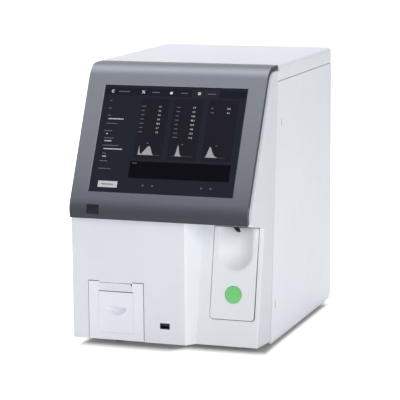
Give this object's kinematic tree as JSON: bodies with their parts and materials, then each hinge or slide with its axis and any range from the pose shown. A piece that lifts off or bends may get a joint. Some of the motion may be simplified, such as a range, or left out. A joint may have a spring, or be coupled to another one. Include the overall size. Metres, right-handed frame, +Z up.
{
  "type": "hematology analyzer",
  "caption": "Bench-top hematology analyzer with a slanted touch display, a recessed sample port with a green start button, a thermal recorder door and a hinged service side.",
  "frame": {"origin": "centre of the bounding box, at the underside of the feet", "axes": "+Z up, the display and the sample port face -Y, +X to the right as seen from the front"},
  "size_m": [0.2724, 0.4108, 0.394],
  "materials": {
    "white_plastic": "fine satin texture",
    "grey_plastic": "metallic satin",
    "black_plastic": "satin",
    "dark_window": "smoked, glossy",
    "cover_glass": "clear, lit from behind",
    "clear_glass": "clear",
    "green_plastic": "glossy",
    "steel": "ground",
    "zinc_sheet": "zinc plated sheet",
    "rubber": "matt",
    "paper": "matt",
    "circuit_board": "solder mask",
    "aluminium": "anodised",
    "acrylic": "clear cast"
  },
  "bodies": {
    "housing": {"base_tray": "zinc_sheet", "foot_front_left": "rubber", "foot_front_right": "rubber", "foot_rear_left": "rubber", "foot_rear_right": "rubber", "front_cover": "white_plastic", "top_cover": "white_plastic", "left_side_panel": "white_plastic", "rear_panel": "zinc_sheet", "door_pivot_lower": "steel", "door_pivot_upper": "steel", "display_bezel": "grey_plastic", "touch_glass": "cover_glass", "lcd_module": "black_plastic", "status_window": "dark_window", "aspiration_panel": "white_plastic", "start_switch": "black_plastic", "recorder_frame": "white_plastic", "print_head": "aluminium", "usb_port": "black_plastic", "power_inlet": "black_plastic", "fan_frame": "black_plastic", "fan_guard": "steel", "reagent_ports": "white_plastic", "mid_plate": "zinc_sheet", "power_supply": "aluminium", "main_board": "circuit_board", "shuttle_rail": "steel", "shuttle_motor": "black_plastic", "bath_shelf": "aluminium", "wbc_bath": "acrylic", "rbc_bath": "acrylic", "syringe_frame": "aluminium", "large_barrel": "clear_glass", "small_barrel": "clear_glass", "syringe_motor": "black_plastic", "valve_block": "acrylic", "vacuum_pump": "black_plastic"},
    "recorder_door": {"recorder_door": "white_plastic"},
    "platen_roller": {"platen_roller": "rubber"},
    "paper_roll": {"paper_roll": "paper"},
    "start_button": {"aspirate_button": "green_plastic"},
    "probe_shuttle": {"probe_shuttle": "aluminium", "lift_guide": "steel", "lift_motor": "black_plastic", "probe_wipe": "black_plastic"},
    "probe_lift": {"probe_lift": "aluminium", "sample_probe": "steel"},
    "lift_screw": {"lift_screw": "steel"},
    "shuttle_screw": {"shuttle_screw": "steel"},
    "syringe_yoke": {"syringe_yoke": "aluminium", "large_plunger": "steel", "small_plunger": "steel"},
    "syringe_screw": {"syringe_screw": "steel"},
    "fan_rotor": {"fan_rotor": "black_plastic"},
    "power_rocker": {"power_rocker": "black_plastic"},
    "right_side_door": {"right_side_door": "white_plastic"},
    "door_lock_upper": {"door_lock_upper": "steel"},
    "door_lock_lower": {"door_lock_lower": "steel"}
  },
  "joints": [
    {"name": "recorder_door_hinge", "type": "hinge", "parent": "housing", "child": "recorder_door", "pos_m": [-0.00014, -0.18852, 0.0258], "axis": [1, 0, 0], "range_deg": [0, 75]},
    {"name": "platen_turn", "type": "hinge", "parent": "recorder_door", "child": "platen_roller", "pos_m": [-0.06814, -0.18272, 0.073], "axis": [1, 0, 0], "continuous": true},
    {"name": "paper_roll_turn", "type": "hinge", "parent": "housing", "child": "paper_roll", "pos_m": [-0.06814, -0.15772, 0.0411], "axis": [1, 0, 0], "continuous": true},
    {"name": "start_button_press", "type": "slide", "parent": "housing", "child": "start_button", "axis": [0, 0.9806, -0.1959], "range_m": [0, 0.0025], "stiffness_N_per_m": 800, "springref_m": -0.001},
    {"name": "probe_shuttle_slide", "type": "slide", "parent": "housing", "child": "probe_shuttle", "axis": [0, 1, 0], "range_m": [0, 0.102]},
    {"name": "probe_lift_slide", "type": "slide", "parent": "probe_shuttle", "child": "probe_lift", "axis": [0, 0, -1], "range_m": [0, 0.035]},
    {"name": "lift_screw_turn", "type": "hinge", "parent": "probe_shuttle", "child": "lift_screw", "pos_m": [0.06886, -0.11472, 0.2], "axis": [0, 0, 1], "range_deg": [0, 1575]},
    {"name": "shuttle_screw_turn", "type": "hinge", "parent": "housing", "child": "shuttle_screw", "pos_m": [0.05586, -0.07172, 0.286], "axis": [0, 1, 0], "range_deg": [-3060, 0]},
    {"name": "syringe_yoke_slide", "type": "slide", "parent": "housing", "child": "syringe_yoke", "axis": [0, 0, 1], "range_m": [0, 0.055]},
    {"name": "syringe_screw_turn", "type": "hinge", "parent": "housing", "child": "syringe_screw", "pos_m": [0.05786, 0.12028, 0.2], "axis": [0, 0, 1], "range_deg": [-2475, 0]},
    {"name": "fan_turn", "type": "hinge", "parent": "housing", "child": "fan_rotor", "pos_m": [-0.07813, 0.18028, 0.255], "axis": [0, 1, 0], "continuous": true},
    {"name": "power_rocker_tilt", "type": "hinge", "parent": "housing", "child": "power_rocker", "pos_m": [-0.06014, 0.19688, 0.106], "axis": [1, 0, 0], "range_deg": [-14, 0]},
    {"name": "side_door_hinge", "type": "hinge", "parent": "housing", "child": "right_side_door", "pos_m": [0.13437, 0.19608, 0.2], "axis": [0, 0, 1], "range_deg": [0, 100]},
    {"name": "door_lock_upper_turn", "type": "hinge", "parent": "right_side_door", "child": "door_lock_upper", "pos_m": [0.13587, -0.06462, 0.3122], "axis": [1, 0, 0], "range_deg": [0, 90]},
    {"name": "door_lock_lower_turn", "type": "hinge", "parent": "right_side_door", "child": "door_lock_lower", "pos_m": [0.13587, -0.09602, 0.0562], "axis": [1, 0, 0], "range_deg": [0, 90]}
  ],
  "couplings": [
    {"joint": "platen_turn", "follows": "paper_roll_turn", "ratio": -3.3636},
    {"joint": "lift_screw_turn", "follows": "probe_lift_slide", "rad_per_m": 785.4},
    {"joint": "shuttle_screw_turn", "follows": "probe_shuttle_slide", "rad_per_m": -523.6},
    {"joint": "syringe_screw_turn", "follows": "syringe_yoke_slide", "rad_per_m": -785.4}
  ]
}
